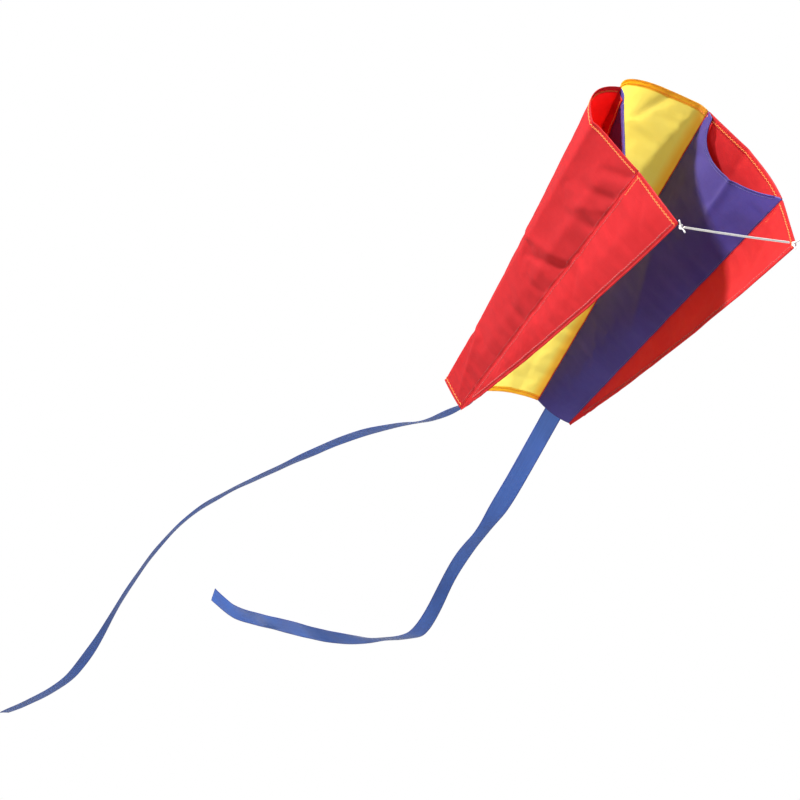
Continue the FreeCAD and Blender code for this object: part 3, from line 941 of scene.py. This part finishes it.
def make_inner(side):
    panel = INNER_PANELS[side]

    def start(t):
        return mouth_line(side, t)

    obj = panel_object(f"{side}_inner_cloth", panel, start, 40, 100, BLUE, "canopy", (3 * MM, HEM))
    place = mouth_edge(side)
    hem = hem_object(f"{side}_mouth_fold", panel, place, (0.13, 0.94), 1, BLUE, "canopy", 0.75 * HEM)
    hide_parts(f"{side}_mouth_hem")
    extras = [hem]
    for face, height in (("inside", -0.95 * MM), ("outside", 0.25 * MM)):
        extras.append(stitches_object(
            f"{side}_mouth_stitches_{face}", panel, place, (0.14, 0.93), (3.4,), height, 0.3 * MM,
            "canopy", BLUE_THREAD,
        ))
    for end, words in ((0, "top"), (1, "low")):
        extras.append(stitches_object(
            f"{side}_inner_{words}_stitches", panel, long_seam(panel, end), (0.05, 0.98), (2.6,),
            0.25 * MM, 0.28 * MM, "canopy", BLUE_THREAD,
        ))
    extras += make_margin(side)
    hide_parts(f"{side}_inner_skin")
    declare_sheet(panel)
    return obj


def make_keel(side):
    panel = KEEL_PANELS[side]
    body = f"{side}_keel_flap"
    obj = panel_object(f"{side}_keel_cloth", panel, whole, 18, 100, RED, body, (0, HEM))
    edges = (
        ("front", front_edge, (0.03, 0.985)),
        ("lower", lower_edge(panel), (0.01, 0.93)),
    )
    for name, place, span in edges:
        hem = hem_object(f"{side}_keel_{name}_fold", panel, place, span, 1, RED, body)
        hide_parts(f"{side}_keel_{name}_hem")
        thread = THREAD if name == "front" else RED_THREAD
        for face, height in (("inside", -0.95 * MM), ("outside", 0.25 * MM)):
            stitches_object(
                f"{side}_keel_{name}_stitches_{face}", panel, place, span, (4.2, 6.4), height,
                0.55 * MM, body, thread,
            )
    tacks = (("front", (0.012, 0.075), THREAD), ("seam", (0.08, 0.93), RED_THREAD))
    for words, span, thread in tacks:
        stitches_object(
            f"{side}_keel_{words}_tack", panel, long_seam(panel, 0), span, (5.0, 6.6), 0.25 * MM,
            0.36 * MM, body, thread,
        )
    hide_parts(f"{side}_keel")
    declare_sheet(panel)
    return obj


# ------------------------------------------------------------------ bridle

BRIDLE_DIAMETER = 2.4 * MM
# Where the knots are, in millimetres: out from the middle, and up.
KNOT_REACH = 73
KNOT_HEIGHT = {"left": -3, "right": 2}
KNOT_STEPS = 24
KNOT_SIZE = 0.78 * MM


def curve_object(name, splines, radius, material, body):
    """Smooth cords of one thickness through their control points."""
    data = bpy.data.curves.new(name, "CURVE")
    data.dimensions = "3D"
    data.bevel_depth = radius
    data.bevel_resolution = 4
    data.use_fill_caps = True
    data.resolution_u = 16
    for points, closed in splines:
        spline = data.splines.new("NURBS")
        spline.points.add(len(points) - 1)
        for point, place in zip(spline.points, points):
            point.co = (*place, 1)
        spline.order_u = 3
        spline.use_endpoint_u = not closed
        spline.use_cyclic_u = closed
    data.materials.append(material)
    obj = add_object(name, data)
    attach(obj, body)
    return obj


def make_bridle():
    start = (-69.2 * MM, 0, -3 * MM)
    end = (67.1 * MM, 0, 2.5 * MM)
    route = [start, (-40 * MM, 0, -2.2 * MM), (0, 0, -0.8 * MM), (38 * MM, 0, 0.9 * MM), end]
    line = curve_object("bridle_cord_line", [(route, False)], BRIDLE_DIAMETER / 2, CORD, "bridle")
    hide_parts("bridle_line")


def make_knot(side):
    sign = SIDES[side]
    centre = np.array([sign * KNOT_REACH, 0, KNOT_HEIGHT[side]]) * MM
    turns = []
    for step in range(KNOT_STEPS):
        t = 2 * math.pi * step / KNOT_STEPS
        loop = (
            1.15 * math.sin(3 * t),
            math.sin(t) + 2 * math.sin(2 * t),
            math.cos(t) - 2 * math.cos(2 * t),
        )
        turns.append(tuple(centre + np.array(loop) * KNOT_SIZE))
    ends = [
        [(0, 0, 0), (1.5 * sign, -2.5, 1.2), (4.5 * sign, -5, 3.4), (6.2 * sign, -7, 3.6)],
        [(0, 0, 0), (-0.6 * sign, -2, -2.6), (-1.8 * sign, -3.6, -5.6), (-1.5 * sign, -5.2, -8.4)],
    ]
    splines = [(turns, True)]
    splines += [([tuple(centre + np.array(p) * MM) for p in run], False) for run in ends]
    knot = curve_object(f"{side}_knot_cord", splines, 0.95 * MM, CORD, f"{side}_keel_flap")
    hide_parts(f"{side}_bridle_knot")


# ------------------------------------------------------------------- tails

TAIL_WIDTH = 25 * MM
TAIL_STEP = 4 * MM
TAIL_ROOT = 62.25
TAIL_ROOT_HEIGHT = -19.75
TAILS = {
    # The route in its own upright plane, (distance downwind, height) in
    # millimetres, the heading in degrees, and the twist: (run, degrees).
    "left": {
        "drift": 17,
        "route": [
            (0, 0), (72, -10), (125, 0), (235, 8), (400, -5), (575, -21), (680, -57),
            (785, -128), (870, -208), (960, -257), (1125, -272),
        ],
        "twist": [
            (0, -40), (40, -10), (100, -13), (160, -2), (320, -3), (400, -15), (480, -16), (560, -19),
            (640, -30), (800, -39), (860, -37), (920, -20), (1040, -10), (1120, -5), (1200, -12),
        ],
    },
    "right": {
        "drift": 5.5,
        "route": [
            (0, 0), (150, -112), (245, -149), (336, -233), (393, -236), (592, -204),
            (784, -148), (950, -101), (1003, -77), (1058, -45),
        ],
        "twist": [
            (0, 40), (170, 36), (220, -12), (300, -5), (360, -9), (430, 6), (490, 0), (560, 6),
            (640, 32), (700, 48), (800, 60), (1020, 62), (1080, 75), (1160, 86),
        ],
    },
}


def smooth_line(points, step):
    """Even points along a curve that rounds every corner from middle to middle of its runs."""
    points = np.asarray(points, float)
    middles = (points[:-1] + points[1:]) / 2
    middles[0], middles[-1] = points[0], points[-1]
    t = np.linspace(0, 1, 40)[:, None]
    parts = [
        (1 - t) ** 2 * a + 2 * t * (1 - t) * corner + t**2 * b
        for a, corner, b in zip(middles, points[1:-1], middles[1:])
    ]
    line = np.concatenate(parts)
    run = np.concatenate([[0], np.cumsum(np.linalg.norm(np.diff(line, axis=0), axis=1))])
    even = np.linspace(0, run[-1], int(run[-1] / step) + 1)
    return np.stack([np.interp(even, run, line[:, k]) for k in range(3)], -1), even


def make_tail(side):
    sign = SIDES[side]
    facts = TAILS[side]
    drift = math.radians(facts["drift"])
    heading = np.array([-math.sin(drift), math.cos(drift), 0])
    level = np.array([math.cos(drift), math.sin(drift), 0])
    *sewn, root = (
        to_row(np.array([sign * TAIL_ROOT, y, TAIL_ROOT_HEIGHT]) * MM) for y in (470, 478, 483)
    )
    rise = np.array([0, 0, 1])
    route = [root + (heading * run + rise * height) * MM for run, height in facts["route"]]
    line, run = smooth_line([*sewn, *route], TAIL_STEP)
    along = np.gradient(line, axis=0)
    along = along / np.linalg.norm(along, axis=1, keepdims=True)
    width = level - along * (along @ level)[:, None]
    width = width / np.linalg.norm(width, axis=1, keepdims=True)
    up = np.cross(along, width)
    keys = np.array(facts["twist"], float)
    twist = np.interp(run / MM, keys[:, 0], keys[:, 1])
    kernel = np.ones(11) / 11
    twist = np.radians(np.convolve(np.pad(twist, 5, mode="edge"), kernel, mode="valid"))[:, None]
    across = width * np.cos(twist) + up * np.sin(twist)
    lift = np.cross(along, across)
    places = np.linspace(-1, 1, 13)
    curl = 1.0 * MM * ripple(run, 5 + sign, (230, 140, 90))[:, None] * (1 - places[None, :] ** 2)
    flutter = 0.5 * MM * ripple(run, 9 + sign, (190, 120, 75))[:, None] * places[None, :]
    held = np.clip(run / (40 * MM), 0, 1)[:, None]
    offset = (curl + flutter) * held
    half = TAIL_WIDTH / 2
    points = line[:, None, :] + across[:, None, :] * (places * half)[None, :, None]
    points = points + lift[:, None, :] * offset[..., None]
    # The last 20 mm run out to an end that is cut on a slant.
    near_end = np.clip((run - run[-1] + 20 * MM) / (20 * MM), 0, 1)[:, None]
    slant = (places[None, :] * half * 0.35) * near_end
    points = points + along[:, None, :] * slant[..., None]
    flat = [places[None, :] * half + 0 * run[:, None], run[:, None] + 0 * places[None, :]]
    faces = join_rows(len(run), len(places))
    obj = mesh_object(f"{side}_tail_strip", points, faces, RIBBON, np.stack(flat, -1))
    thicken(obj, CLOTH)
    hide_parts(f"{side}_tail", f"{side}_tail_sewn_end")
    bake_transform(obj)
    return obj


# ------------------------------------------------------------------ making


def make_floor():
    r, z = FLOOR_REACH, FLOOR_LEVEL
    mesh = bpy.data.meshes.new("floor")
    mesh.from_pydata([(-r, -r, z), (r, -r, z), (r, r, z), (-r, r, z)], [], [(0, 1, 2, 3)])
    mesh.materials.append(floor_material())
    add_object("floor", mesh)


make_camera()
make_bridle()
for side in SIDES:
    make_knot(side)

# Each panel, the slack in its cloth and the pressure on its faces. The outer skins
# are pressed outward; the faces of the left one are wound the other way.
panels = [(make_centre(), 0.003, 0.15)]
for side, sign in SIDES.items():
    panels.append((make_outer(side), 0.003, sign * 0.15))
    panels.append((make_inner(side), 0.002, 0.05))
    panels.append((make_keel(side), 0.002, 0.05))
blow(panels)
for obj, *_ in panels:
    thicken(obj, CLOTH)
for side in SIDES:
    make_tail(side)

area_light("key", (-0.646, -0.173, 0.743), 3.0, 0.2, 178)
area_light("fill", (-0.93, -0.34, -0.15), 3.0, 1.6, 38)
area_light("back", (0.80, 0.52, 0.30), 3.0, 1.6, 18)
make_world(seen=1.0, cast=0.27)
make_floor()
bpy.context.scene.view_settings.view_transform = "Standard"
